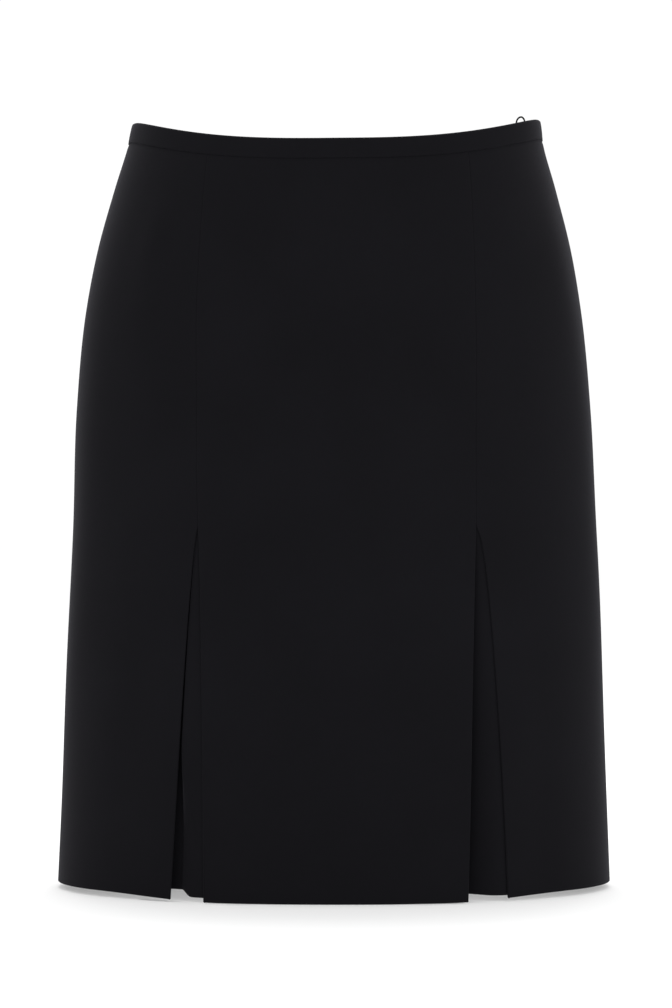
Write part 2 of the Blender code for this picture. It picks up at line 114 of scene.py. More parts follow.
# side is the seam's side; low and high are how far the folds towards -X and +X lie from the seam. depth is
# the underlay's beside the low fold; the step and wide values place the step where it comes forward; short
# and deep_short are how much shorter than the panels it is, and how much more where it lies deep.
Pleat = namedtuple(
    "Pleat", "side low low_power high high_power depth step_from step_to wide_from wide_to short deep_short"
)
PLEATS = {
    "right": Pleat(-1, low=0.0185, low_power=0.7, high=0.0046, high_power=0.6, depth=0.009,
                   step_from=0.20, step_to=0.54, wide_from=0.56, wide_to=0.90,
                   short=0.003, deep_short=0.0044),
    "left": Pleat(+1, low=0.0052, low_power=0.9, high=0.0225, high_power=0.54, depth=0.016,
                  step_from=0.04, step_to=0.66, wide_from=-1.0, wide_to=0.0,
                  short=0.0036, deep_short=0.0008),
}

ZIP_LENGTH = 0.200
TAPE_WIDTH = 0.0115
TAPE_WALL = 0.001
TAPE_FROM_MIDDLE = 0.001
TAPE_DEPTH = BAND_WALL - BAND_PROUD + GAP
TAPE_TOP = 0.0015
SLIDER_LENGTH = 0.0085
SLIDER_DROP = 0.006

LOOP_DIAMETER = 0.0013
LOOP_X = 0.1330
LOOP_CLEAR = 0.0006
LoopPoint = namedtuple("LoopPoint", "along up")
LOOP_ROUTE = (
    LoopPoint(-0.0060, -0.0125),
    LoopPoint(-0.0063, -0.0090),
    LoopPoint(-0.0066, -0.0050),
    LoopPoint(-0.0064, -0.0018),
    LoopPoint(-0.0050, 0.0006),
    LoopPoint(-0.0022, 0.0024),
    LoopPoint(0.0013, 0.0032),
    LoopPoint(0.0042, 0.0023),
    LoopPoint(0.0056, 0.0000),
    LoopPoint(0.0057, -0.0030),
    LoopPoint(0.0053, -0.0060),
    LoopPoint(0.0050, -0.0095),
    LoopPoint(0.0048, -0.0125),
)

# ---- how the cloth is made up ----

CLOTH = 0.0005  # one layer
LAYER_GAP = 0.0001  # between layers that are pressed together
TURN_RADIUS = CLOTH + LAYER_GAP / 2  # of the outer face where a hem turns back on itself
HEM_UP = 0.038
SEAM_PRESS = 0.00004  # how far two sewn panels press into each other
SEAM_FOLD = 0.00056  # half the thickness of a pressed seam's fold
SEAM_PRESSED = 0.28  # how far along that fold turns, in shares of its half thickness
PLEAT_FOLD = 0.00068  # half the thickness of a pleat's fold near the hem, where it is round
BAND_TUCK = 0.0060  # how far a panel runs up inside the waistband
BAND_TUCK_DEPTH = 0.00045
BAND_TUCK_FROM = 0.0035  # below the panels' top edge
BAND_TUCK_ABOVE = 0.0005
SEAM_ALLOWANCE = 0.013
DART_SHARE = 0.47  # of the way from the side seam to the centre back
DART_LENGTH = 0.105
DART_GROOVE = 0.0005
DART_GROOVE_WIDTH = 0.0009
DART_FADE = 0.02  # length above the tip where the groove fades
DART_FULLNESS = 0.0009  # the cloth stands out this far just below the tip
FULLNESS_BELOW = 0.01
FULLNESS_WIDTH = 0.018
FULLNESS_HEIGHT = 0.028
PUCKER = 0.00012  # of the seam beside the zip
PUCKER_PITCH = 0.010
PUCKER_WIDTH = 0.009
PUCKER_FROM = 0.004
PUCKER_FULL = 0.02
UNDERLAY_HEM = 0.032
UNDERLAY_HEM_ROWS = 10
UNDERLAY_COLUMNS = 26
UNDERLAY_ENDS = 8  # columns beyond the opening, at each side
UNDERLAY_RIPPLE = 0.0006
RIPPLE_ACROSS = 5.2  # radians from one fold to the other
RIPPLE_DOWN = 9  # radians for each metre
BAND_BULGE = 0.00015
BAND_EASE = 0.00035  # how much less the band stands out at its lower edge
BAND_END_SINK = 0.0004
BAND_END_WIDTH = 0.0008
BAND_WAVE = 0.00008
BAND_INNER_END = 0.0006  # how much higher the inner layer ends
BAND_INNER_ROWS = 6
BAND_OVER_ROWS = 11
BAND_OUTER_ROWS = 8
BAND_TURN_ROWS = 6
BAND_ALLOWANCE_ROWS = (0.0115, 0.0095, 0.0075)
TAPE_CLOTH = 0.0006
TAPE_ROW_STEP = 0.002
TAPE_COLUMNS = 13
TAPE_RIB = 0.00012
COIL_PITCH = 0.0016
COIL_WIDTH = 0.0022
COIL_HEIGHT = 0.0010
COIL_WIRE = 0.0006
COIL_STEPS = 9  # points for each turn of the wire
COIL_UNDER_SLIDER = 0.001
COIL_INWARDS = 0.0001  # past the tape's edge
ZIP_END_CLEAR = 0.004  # from the last element, or stitch, to the tapes' lower end
TUBE_SIDES = 6
STITCH_RADIUS = 0.00016
STITCH_STEPS = np.array([0.0, 0.15, 0.5, 0.85, 1.0])
STITCH_TAPER = np.array([0.35, 0.9, 1.0, 0.9, 0.35])
HEM_STITCH_STEP = 0.007
HEM_STITCH_LEAN = 0.16  # share of a step that a hem stitch leans to each side
HEM_STITCH_UP = 0.0013
HEM_STITCH_DOWN = 0.0016
HEM_STITCH_LIFT = 0.0003
HEM_EDGE_BELOW = 0.0006
PLEATED_FROM = 0.055  # no hem stitches this far from the front's middle, where the pleats lie
PLEATED_TO = 0.135
BAND_STITCH_STEP = 0.0042
BAND_STITCH_LENGTH = 0.55  # share of a step
BAND_STITCH_ABOVE = 0.0010
BAND_STITCH_SLANT = 0.0004
BAND_STITCH_LIFT = 0.00015
TAPE_STITCH_STEP = 0.003
TAPE_STITCH_LENGTH = 0.0022
TAPE_STITCH_LINE = 0.0062
TAPE_STITCH_FROM = 0.018
TAPE_STITCH_LIFT = 0.00012
CORD_STRANDS = (3, 0.16, 0.0032)
CORD_SIDES = 14
CORD_STEPS = 14
TACKS = 5
TACK_FROM = 6  # the tacks run between these points of the cord's path, counted from each end
TACK_TO = 22
TACK_REACH = 0.0009
TACK_LIFT = 0.00165
METAL_EDGE = 0.00018
METAL_EDGE_STEPS = 3
METAL_EDGE_ANGLE = math.radians(35)
COLUMN_STEP = 0.0032
FOLD_CLEAR = 0.0006

# Colours, as linear red, green and blue.
SUIT_DARK = (0.0046, 0.0044, 0.0055)
SUIT_LIGHT = (0.0056, 0.0054, 0.0068)
SHEEN_TINT = (0.88, 0.86, 1.0, 1.0)
SUIT_SURFACE = {
    "Sheen_Weight": 0.052,
    "Sheen_Roughness": 0.4,
    "Sheen_Tint": SHEEN_TINT,
    "Specular_IOR_Level": 0.05,
}
TWILL_PITCH = 0.00085
TWILL_SLOPE = 1.3
THREAD_PITCH = 0.00045
RIB_SHARE = 0.6
THREAD_SHARE = 0.3
BROAD_SHARE = 0.75  # of the broad clouds in the cloth's colour; fine ones have the rest
TAPE_RIB_PITCH = 0.0006
TAPE_THREAD_PITCH = 0.0008
TAPE_DARK = (0.0050, 0.0050, 0.0057)
TAPE_LIGHT = (0.0078, 0.0078, 0.0086)
THREAD_DARK = (0.0060, 0.0060, 0.0068)
THREAD_LIGHT = (0.0095, 0.0095, 0.0105)
CORD_DARK = (0.0042, 0.0042, 0.0048)
CORD_LIGHT = (0.0066, 0.0066, 0.0074)
NYLON_DARK = (0.0060, 0.0060, 0.0068)
LACQUER_DARK = (0.0055, 0.0055, 0.0065)
LACQUER_LIGHT = (0.0100, 0.0100, 0.0115)

WORLD_LIGHT = 1.04
FLOOR_WHITE = 0.69
FLOOR_GLOW = 0.29
KEY_POWER = 20.0
OVERHEAD_POWER = 50.0

# The soft creases: each runs from one place to another, is that wide, and stands that far out (or
# in, where height is below 0). Turns are in degrees.
Crease = namedtuple("Crease", "turn drop to_turn to_drop width height")
CREASES = (
    # front, wearer's right hip: the ridge that bends in towards the waist
    Crease(-31, 0.262, -23, 0.214, 0.013, 0.0010),
    Crease(-23, 0.222, -18, 0.090, 0.015, 0.0009),
    Crease(-13, 0.230, -10, 0.100, 0.020, -0.0008),
    # front, middle and left
    Crease(4, 0.075, 7, 0.330, 0.028, 0.0007),
    Crease(-3, 0.350, -4, 0.540, 0.030, -0.0009),
    Crease(13, 0.300, 15, 0.540, 0.024, 0.0008),
    Crease(-17, 0.330, -19, 0.540, 0.020, 0.0007),
    Crease(20, 0.080, 24, 0.250, 0.018, -0.0007),
    Crease(31, 0.130, 36, 0.290, 0.020, 0.0009),
    Crease(44, 0.300, 47, 0.540, 0.022, -0.0009),
    Crease(-43, 0.310, -46, 0.540, 0.022, -0.0009),
    Crease(-48, 0.060, -44, 0.220, 0.018, 0.0008),
    # sides
    Crease(70, 0.090, 76, 0.400, 0.026, 0.0014),
    Crease(-68, 0.120, -74, 0.430, 0.026, 0.0014),
    Crease(104, 0.160, 99, 0.520, 0.024, -0.0017),
    Crease(-105, 0.180, -101, 0.500, 0.024, -0.0017),
    # back: across under the seat, and long ones down to the hem
    Crease(125, 0.255, 152, 0.275, 0.012, -0.0020),
    Crease(-124, 0.262, -150, 0.280, 0.012, -0.0018),
    Crease(131, 0.300, 128, 0.540, 0.022, 0.0022),
    Crease(-133, 0.305, -129, 0.540, 0.022, 0.0021),
    Crease(158, 0.300, 160, 0.540, 0.020, -0.0021),
    Crease(-160, 0.310, -157, 0.530, 0.020, -0.0020),
    Crease(150, 0.070, 146, 0.200, 0.016, 0.0013),
    Crease(-149, 0.075, -147, 0.190, 0.016, 0.0012),
)
GIRTH_PER_TURN = 0.158  # metres of cloth for each radian of turn, where creases and stitches are laid out
CREASE_WANDER = 0.35  # share of its width that a crease wanders sideways
CREASE_UNEVEN = 0.3  # share that its height varies by
CREASE_SPREAD = 0.25  # share that its width varies by
CREASE_START = (-0.25, 0.3)  # shares of its length between which it rises
CREASE_END = (0.7, 1.25)  # and between which it dies away, unless it runs to the hem
CREASE_TO_HEM = 0.53
CREASES_FROM = (0.030, 0.075)  # drops between which the creases set in below the waistband

# ---- the garment's form ----

SECTION_DROPS = np.array([section.drop for section in SECTIONS])


def at_drop(column, drop):
    """A column of SECTIONS at any height, on a smooth curve through its rows."""
    drop = np.asarray(drop, float)
    values = np.array([getattr(section, column) for section in SECTIONS])
    slopes = np.gradient(values, SECTION_DROPS)
    low = np.clip(np.searchsorted(SECTION_DROPS, drop) - 1, 0, len(SECTIONS) - 2)
    span = SECTION_DROPS[low + 1] - SECTION_DROPS[low]
    share = (drop - SECTION_DROPS[low]) / span
    start = (1 + 2 * share) * (1 - share) ** 2 * values[low] + share * (1 - share) ** 2 * span * slopes[low]
    finish = share**2 * (3 - 2 * share) * values[low + 1]
    finish = finish - share**2 * (1 - share) * span * slopes[low + 1]
    found = start + finish
    above = values[0] + slopes[0] * (drop - SECTION_DROPS[0])
    below = values[-1] + slopes[-1] * (drop - SECTION_DROPS[-1])
    return np.where(drop < SECTION_DROPS[0], above, np.where(drop > SECTION_DROPS[-1], below, found))


def smooth_step(value, low, high):
    share = np.clip((np.asarray(value, float) - low) / (high - low), 0.0, 1.0)
    return share * share * (3 - 2 * share)


def half_depth(turn, drop):
    return np.where(np.cos(turn) > 0, at_drop("front_depth", drop), at_drop("back_depth", drop))


def crease_height(turn, drop):
    """How far the soft creases move the cloth outwards. The sines only make them uneven."""
    around = np.asarray(turn) * GIRTH_PER_TURN
    total = np.zeros(np.broadcast(around, drop).shape)
    for number, crease in enumerate(CREASES):
        start = np.array([math.radians(crease.turn) * GIRTH_PER_TURN, crease.drop])
        run = np.array([math.radians(crease.to_turn) * GIRTH_PER_TURN, crease.to_drop]) - start
        length = math.hypot(*run)
        along = ((around - start[0]) * run[0] + (drop - start[1]) * run[1]) / length
        across = ((drop - start[1]) * run[0] - (around - start[0]) * run[1]) / length
        wander = CREASE_WANDER * crease.width * np.sin(along / length * 4.3 + number * 1.7)
        uneven = 1 + CREASE_UNEVEN * np.sin(along / length * 7.1 + number * 2.3)
        taper = smooth_step(along, CREASE_START[0] * length, CREASE_START[1] * length)
        if crease.to_drop <= CREASE_TO_HEM:
            taper = taper * (1 - smooth_step(along, CREASE_END[0] * length, CREASE_END[1] * length))
        width = crease.width * (1 + CREASE_SPREAD * np.sin(along / length * 3.1 + number))
        total = total + crease.height * uneven * taper * np.exp(-(((across - wander) / width) ** 2))
    return total * smooth_step(drop, *CREASES_FROM)


def wall_point(turn, drop, depth=0.0):
    """Points of the garment's outer face, or depth inside it."""
    turn, drop, depth = np.broadcast_arrays(np.asarray(turn, float), drop, depth)
    wide = at_drop("half_width", drop)
    deep = half_depth(turn, drop)
    normal = np.stack([np.sin(turn) / wide, -np.cos(turn) / deep, np.zeros(turn.shape)], -1)
    normal /= np.linalg.norm(normal, axis=-1, keepdims=True)
    face = np.stack([at_drop("middle_x", drop) + wide * np.sin(turn), -deep * np.cos(turn), -drop], -1)
    return face + normal * (crease_height(turn, drop) - depth)[..., None]


def turn_for(distance, turn, drop):
    """The change of turn that moves a point that far along the garment's outline."""
    wide, deep = at_drop("half_width", drop), half_depth(turn, drop)
    return distance / np.hypot(wide * np.cos(turn), deep * np.sin(turn))


def turn_at(x, drop):
    return np.arcsin(x / at_drop("half_width", drop))


def waist_drop(turn):
    dip = np.where(np.cos(turn) > 0, WAIST_DIP_FRONT, WAIST_DIP_BACK)
    across = np.sin(turn)
    curl = WAIST_SIDE_DIP * np.exp(-(((np.abs(turn) - math.pi / 2) / WAIST_SIDE_SPAN) ** 2))
    tilt = WAIST_TILT * SECTIONS[0].half_width * across
    return dip * (1 - np.abs(across) ** WAIST_DIP_POWER) - tilt + curl


def panel_top(turn):
    return waist_drop(turn) + BAND_HEIGHT


def hem_drop(turn):
    rise = np.where(np.cos(turn) > 0, smooth_step(np.abs(np.sin(turn)), HEM_RISE_FROM, HEM_RISE_TO), 1.0)
    return LENGTH - HEM_RISE * rise


# ---- sheets of cloth as meshes ----


def grid_normals(grid):
    """Normals of a grid of points, outward where rows run down and columns run round towards +X."""
    normals = np.cross(np.gradient(grid, axis=0), np.gradient(grid, axis=1))
    return normals / np.linalg.norm(normals, axis=-1, keepdims=True)


def grid_faces(rows, columns, offset=0, flip=False):
    corner = (np.arange(rows - 1)[:, None] * columns + np.arange(columns - 1)).ravel() + offset
    faces = np.stack([corner, corner + columns, corner + columns + 1, corner + 1], -1)
    return faces[:, ::-1] if flip else faces


def sheet_solid(grid, wall):
    """Points and faces of a closed sheet: the grid is its outer face, with its wall behind."""
    rows, columns = grid.shape[:2]
    inner = grid - grid_normals(grid) * wall
    count = rows * columns
    points = np.concatenate([grid.reshape(-1, 3), inner.reshape(-1, 3)])
    index = np.arange(count).reshape(rows, columns)
    rim = np.concatenate([index[:, 0], index[-1, 1:], index[-2::-1, -1], index[0, -2:0:-1]])
    after = np.roll(rim, -1)
    sides = np.stack([rim, rim + count, after + count, after], -1)
    back = grid_faces(rows, columns, count, True)
    return points, np.concatenate([grid_faces(rows, columns), back, sides])


SHARP = math.radians(55)


def add_mesh(name, solids, material, replaced=(), body="skirt"):
    """One object from several (points, faces), riding on a body."""
    points, faces, offset = [], [], 0
    for solid_points, solid_faces in solids:
        points += np.asarray(solid_points).tolist()
        faces += [[corner + offset for corner in face] for face in solid_faces]
        offset += len(solid_points)
    mesh = bpy.data.meshes.new(name)
    mesh.from_pydata(points, [], faces)
    mesh.shade_smooth()
    mesh.set_sharp_from_angle(angle=SHARP)
    mesh.materials.append(material)
    made = bpy.data.objects.new(name, mesh)
    bpy.context.scene.collection.objects.link(made)
    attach(made, body)
    if replaced:
        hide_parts(*replaced)
    return made


def tube(path, radius, sides, twist=None):
    """Points and faces of a closed tube along a path.

    twist is (lobes, depth, pitch) of a laid cord's strands.
    """
    path = np.asarray(path, float)
    ahead = np.gradient(path, axis=0)
    ahead /= np.linalg.norm(ahead, axis=1, keepdims=True)
    side = np.cross(ahead[0], [0.3, 0.5, 0.8])
    radii = np.broadcast_to(radius, (len(path),))
    walked = np.concatenate([[0], np.cumsum(np.linalg.norm(np.diff(path, axis=0), axis=1))])
    angles = 2 * math.pi * np.arange(sides) / sides
    points = []
    for place, way, wide, far in zip(path, ahead, radii, walked):
        side = side - way * np.dot(side, way)
        side /= np.linalg.norm(side)
        other = np.cross(way, side)
        around = np.full(sides, wide)
        if twist:
            lobes, deep, pitch = twist
            around = wide * (1 - deep * 0.5 * (1 - np.cos(lobes * (angles - 2 * math.pi * far / pitch))))
        spokes = np.cos(angles)[:, None] * side + np.sin(angles)[:, None] * other
        points.append(place + around[:, None] * spokes)
    faces = []
    for ring in range(len(path) - 1):
        for corner in range(sides):
            after = (corner + 1) % sides
            a, b = ring * sides + corner, ring * sides + after
            faces.append([a, b, b + sides, a + sides])
    faces.append(list(range(sides))[::-1])
    faces.append([(len(path) - 1) * sides + corner for corner in range(sides)])
    return np.concatenate(points), faces


HEM_TURN_STEPS = 6


def turned_hem(grid, up_rows):
    """A grid carried on round its last row's edge and back up behind itself, as a hem is turned."""
    normals = grid_normals(grid)
    down = grid[-1] - grid[-2]
    down /= np.linalg.norm(down, axis=-1, keepdims=True)
    turned = [grid]
    for step in range(1, HEM_TURN_STEPS):
        angle = math.pi * step / HEM_TURN_STEPS
        moved = grid[-1] + down * TURN_RADIUS * math.sin(angle)
        moved = moved - normals[-1] * TURN_RADIUS * (1 - math.cos(angle))
        turned.append(moved[None])
    back = grid - normals * 2 * TURN_RADIUS
    turned.append(back[-1 : -up_rows - 2 : -1])
    return np.concatenate(turned)


def even(first, last, step):
    """Values about a step apart, ends included."""
    return np.linspace(first, last, max(2, int(round(abs(last - first) / step)) + 1))


ROW_STEP = 0.0032
HEM_ROWS = 12
FINE_ROWS = (0.0, 0.0008, 0.0018, 0.0035, 0.0055)  # below the waistband
UPPER_FROM = 0.008


def row_shares():
    """How far down a panel each row lies: fine at the band, then to the hem's top, then to its edge."""
    length = LENGTH - BAND_HEIGHT
    fine = np.array(FINE_ROWS) / length
    upper = even(UPPER_FROM / length, 1 - HEM_UP / length, ROW_STEP / length)
    lower = np.linspace(1 - HEM_UP / length, 1, HEM_ROWS + 1)[1:]
    return np.concatenate([fine, upper, lower])


ROW_SHARES = row_shares()
TUCK_ROWS = (-BAND_TUCK, -0.003, -0.0012)  # above the panels' top edge, inside the waistband


def row_drop(turn, share, above=0.0):
    """The drop of a panel's row at a turn; the last row lies where the hem's turn starts."""
    top = panel_top(turn)
    return top + above + share * (hem_drop(turn) - TURN_RADIUS - top)


def tuck_depth(turn, drop):
    """The panels go in under the waistband's edge."""
    below = drop - panel_top(turn)
    return BAND_TUCK_DEPTH * (1 - smooth_step(below, -BAND_TUCK_ABOVE, BAND_TUCK_FROM))


# ---- pleats ----

RETURN_STEPS = 9
RETURN_POWER = 1.2  # how a return's depth grows away from its fold
FOLD_STEPS = 8
EDGE_PASSES = 5
ROUND_FROM = 0.1  # shares of a pleat's height between which its folds become round
ROUND_TO = 0.9


def pleat_share(drop):
    return np.clip((drop - PLEAT_TOP) / (LENGTH - PLEAT_TOP), 0.0, 1.0)


def fold_roundness(drop):
    """From 0 at a pressed seam to 1 where a pleat's fold is round."""
    return float(smooth_step(pleat_share(drop), ROUND_FROM, ROUND_TO))


def fold_radius(drop):
    return SEAM_FOLD + (PLEAT_FOLD - SEAM_FOLD) * fold_roundness(drop)


def pleat_depth(pleat, drop):
    flat = 2 * fold_radius(drop)
    return flat + (pleat.depth - flat) * pleat_share(drop) ** DEPTH_POWER


def return_width(drop):
    return ALLOWANCE + (RETURN_WIDTH - ALLOWANCE) * smooth_step(pleat_share(drop), 0.0, RETURN_FULL)


def fold_turn(pleat, low, drop):
    share = pleat_share(drop)
    opening = pleat.low * share**pleat.low_power if low else pleat.high * share**pleat.high_power
    away = (opening - SEAM_PRESS / 2) * (-1 if low else 1)
    return turn_at(pleat.side * at_drop("seam_x", drop) + SEAM_SHIFT + away, drop)


def edge_place(pleat, low, share, above):
    """The turn and the drop of a row where it meets a pleat's fold, which depend on each other."""
    drop = row_drop(pleat.side * math.pi / 4, share, above)
    for _ in range(EDGE_PASSES):
        drop = row_drop(fold_turn(pleat, low, drop), share, above)
    return fold_turn(pleat, low, drop), drop


def fold_points(edge, into, drop, width, deepest, share, above, sink):
    """Points of a row along a return or an allowance and round its fold, up to the flat panel.

    into is the way from the fold into the panel.
    """
    radius = fold_radius(drop)
    tight = radius * (SEAM_PRESSED + (1 - SEAM_PRESSED) * fold_roundness(drop))
    flat = 2 * radius
    run = 1 - np.arange(RETURN_STEPS) / RETURN_STEPS
    angle = math.pi * (0.5 - np.arange(FOLD_STEPS + 1) / FOLD_STEPS)
    along = np.concatenate([tight + (width - tight) * run, tight * (1 - np.cos(angle))])
    inside = flat + (max(deepest, flat) - flat) * run**RETURN_POWER
    depth = np.concatenate([inside, radius * (1 + np.sin(angle))])
    turn = edge + into * turn_for(along, edge, drop)
    drops = row_drop(turn, share, above)
    return wall_point(turn, drops, depth + sink(turn, drops))


def pleat_row(pleat, low, share, above):
    """A row's points round a pleat's fold, and the turn where its flat part starts."""
    edge, drop = edge_place(pleat, low, share, above)
    into = -1 if low else 1
    deepest = float(pleat_depth(pleat, drop)) if low and pleat_share(drop) > 0 else 0.0
    points = fold_points(edge, into, drop, float(return_width(drop)), deepest, share, above, tuck_depth)
    return points, edge + into * turn_for(fold_radius(drop) + FOLD_CLEAR, edge, drop)


def seam_row(edge, into, share, above, sink):
    """The same at a straight seam, whose allowance is pressed back behind the panel."""
    drop = row_drop(edge, share, above)
    edge = edge - into * turn_for(SEAM_PRESS / 2, edge, drop)
    points = fold_points(edge, into, drop, SEAM_ALLOWANCE, 0.0, share, above, sink)
    return points, edge + into * turn_for(fold_radius(drop) + FOLD_CLEAR, edge, drop)


END_COLUMNS = (0.0007, 0.0017)
MARK_COLUMNS = (0.0, 0.0004, 0.0008, 0.0012, 0.0018, 0.0027)
MARK_CLEAR = 0.001


def shares_between(length, mark=None):
    """Shares from 0 to 1 of a row of that length, closer at both ends and about a mark."""
    close = np.array(END_COLUMNS) / length
    found = [np.linspace(0, 1, int(length / COLUMN_STEP) + 1), close, 1 - close]
    if mark is None:
        return np.unique(np.concatenate(found))
    spread = np.array(MARK_COLUMNS) / length
    even_ones = found[0][np.abs(found[0] - mark) > spread[-1] + MARK_CLEAR / length]
    return np.unique(np.concatenate([even_ones, *found[1:], mark - spread, mark + spread]))


def flat_row(first, last, shares, share, above, sink):
    turns = first + (last - first) * shares
    drops = row_drop(turns, share, above)
    return wall_point(turns, drops, sink(turns, drops))


def panel_rows():
    return [(0.0, above) for above in TUCK_ROWS] + [(share, 0.0) for share in ROW_SHARES]


def panel(node, start, finish, length, mark=None, sink=tuck_depth):
    """One panel. start and finish give a row's points beyond its flat part, and where each ends."""
    shares = shares_between(length, mark)
    rows = []
    for share, above in panel_rows():
        before, first = start(share, above)
        after, last = finish(share, above)
        flat = flat_row(first, last, shares, share, above, sink)
        rows.append(np.concatenate([before, flat, after[::-1]]))
    grid = turned_hem(np.array(rows), HEM_ROWS)
    add_mesh("cloth_" + node, [sheet_solid(grid, CLOTH)], suiting, [node])


QUARTER = math.pi / 2
SIDE_ROUND = 1.5  # a front side panel's length round the outline, for each metre across
BACK_ROUND = 1.3


def make_fronts():
    right, left = PLEATS["right"], PLEATS["left"]
    half_centre = SECTIONS[-1].seam_x
    side_length = (SECTIONS[-1].half_width - half_centre) * SIDE_ROUND
    panel(
        "front_panel_centre",
        lambda share, above: pleat_row(right, False, share, above),
        lambda share, above: pleat_row(left, True, share, above),
        2 * half_centre,
    )
    panel(
        "front_panel_left",
        lambda share, above: pleat_row(left, False, share, above),
        lambda share, above: seam_row(QUARTER, -1, share, above, tuck_depth),
        side_length,
    )
    panel(
        "front_panel_right",
        lambda share, above: seam_row(-QUARTER, 1, share, above, tuck_depth),
        lambda share, above: pleat_row(right, True, share, above),
        side_length,
    )


def back_sink(turn, drop):
    """The dart's groove and the fullness under its tip, and the fine pucker beside the zip."""
    centre = QUARTER * (1 + DART_SHARE)
    away = (np.abs(turn) - centre) / turn_for(1.0, centre, drop)
    below = drop - panel_top(turn)
    groove = DART_GROOVE * np.exp(-((away / DART_GROOVE_WIDTH) ** 2))
    groove = groove * (1 - smooth_step(below, DART_LENGTH - DART_FADE, DART_LENGTH))
    under_tip = (below - DART_LENGTH - FULLNESS_BELOW) / FULLNESS_HEIGHT
    full = DART_FULLNESS * np.exp(-((away / FULLNESS_WIDTH) ** 2) - under_tip**2)
    from_zip = (math.pi - np.abs(turn)) / turn_for(1.0, math.pi, drop)
    pucker = PUCKER * np.sin(2 * math.pi * drop / PUCKER_PITCH + 1.3 * np.sin(drop * 61))
    pucker = pucker * np.exp(-((from_zip / PUCKER_WIDTH) ** 2))
    pucker = pucker * smooth_step(below, PUCKER_FROM, PUCKER_FULL)
    return tuck_depth(turn, drop) + groove - full + pucker


def make_backs():
    length = SECTIONS[-1].half_width * BACK_ROUND
    panel(
        "back_panel_left",
        lambda share, above: seam_row(QUARTER, 1, share, above, back_sink),
        lambda share, above: seam_row(math.pi, -1, share, above, back_sink),
        length,
        DART_SHARE,
        back_sink,
    )
    panel(
        "back_panel_right",
        lambda share, above: seam_row(-math.pi, 1, share, above, back_sink),
        lambda share, above: seam_row(-QUARTER, -1, share, above, back_sink),
        length,
        1 - DART_SHARE,
        back_sink,
    )


def come_forward(across, first, last):
    """How far an underlay has come forward from its depth, from 0 at first to 1 some way past last."""
    end = min(first + STEP_TAIL * (last - first), 1.0)
    return 1 - (1 - np.clip((across - first) / (end - first), 0.0, 1.0)) ** STEP_EASE


def make_underlay(name):
    """The piece behind a pleat, from the end of one return to the end of the other, with its own hem."""
    pleat = PLEATS[name]
    bottom = LENGTH - pleat.short - TURN_RADIUS
    top = PLEAT_TOP - UNDERLAY_ABOVE
    upper = even(top, bottom - UNDERLAY_HEM, ROW_STEP)
    drops = np.concatenate([upper, np.linspace(bottom - UNDERLAY_HEM, bottom, UNDERLAY_HEM_ROWS + 1)[1:]])
    across = np.linspace(0, 1, UNDERLAY_COLUMNS + 1)
    beside = np.linspace(1, 0, UNDERLAY_ENDS, endpoint=False)
    rows = []
    for drop in drops:
        low, high = fold_turn(pleat, True, drop), fold_turn(pleat, False, drop)
        ends = return_width(drop) - UNDERLAY_MARGIN
        deep = float(pleat_depth(pleat, drop)) + LAYER_GAP
        flat = 2 * fold_radius(drop) + LAYER_GAP
        turns = [low - turn_for(ends, low, drop) * beside, low + (high - low) * across]
        turns.append(high + turn_for(ends, high, drop) * beside[::-1])
        wide = float(smooth_step(pleat_share(drop), pleat.wide_from, pleat.wide_to))
        first, last = pleat.step_from * wide, pleat.step_to * wide + STEP_LEAST
        lowered, forward = (
            np.concatenate([np.zeros(UNDERLAY_ENDS), shares, np.ones(UNDERLAY_ENDS)])
            for shares in (smooth_step(across, first, last), come_forward(across, first, last))
        )
        ripple = np.sin(across * RIPPLE_ACROSS + drop * RIPPLE_DOWN + pleat.side)
        ripple = UNDERLAY_RIPPLE * pleat_share(drop) * ripple
        depths = deep + (flat - deep) * forward
        depths[UNDERLAY_ENDS:-UNDERLAY_ENDS] += ripple * np.sin(math.pi * across)
        raised = pleat.deep_short * pleat_share(drop) * (1 - lowered)
        rows.append(wall_point(np.concatenate(turns), drop - raised, depths))
    grid = turned_hem(np.array(rows), UNDERLAY_HEM_ROWS)
    node = f"pleat_underlay_{name}"
    add_mesh("cloth_" + node, [sheet_solid(grid, CLOTH)], suiting, [node])


# ---- waistband ----


def band_profile():
    """(depth, down) of the folded strip's outer face.

    It runs up the inner layer, over the top, down the outer layer and back up inside as the allowance.
    """
    inside = BAND_WALL - BAND_PROUD
    top = BAND_WALL / 2
    middle = inside - top
    inner_downs = np.linspace(BAND_HEIGHT - BAND_INNER_END, top, BAND_INNER_ROWS + 1)[:-1]
    inner = [(inside, down) for down in inner_downs]
    angles = np.linspace(0, math.pi, BAND_OVER_ROWS)
    over = [(middle + top * math.cos(angle), top - top * math.sin(angle)) for angle in angles]
    downs = np.linspace(top, BAND_HEIGHT - TURN_RADIUS, BAND_OUTER_ROWS + 1)[1:]
    shares = np.arange(1, BAND_OUTER_ROWS + 1) / BAND_OUTER_ROWS
    moved_in = BAND_EASE * shares**2 - BAND_BULGE * np.sin(math.pi * shares)
    outer = [(-BAND_PROUD + inwards, down) for down, inwards in zip(downs, moved_in)]
    turned = []
    for angle in np.linspace(0, math.pi, BAND_TURN_ROWS + 1)[1:]:
        depth = BAND_EASE - BAND_PROUD + TURN_RADIUS * (1 - math.cos(angle))
        turned.append((depth, BAND_HEIGHT - TURN_RADIUS * (1 - math.sin(angle))))
    allowance = [(turned[-1][0], down) for down in BAND_ALLOWANCE_ROWS]
    return np.array(inner + over + outer + turned + allowance)


BAND_END_COLUMNS = (0.0004, 0.0009, 0.0018)


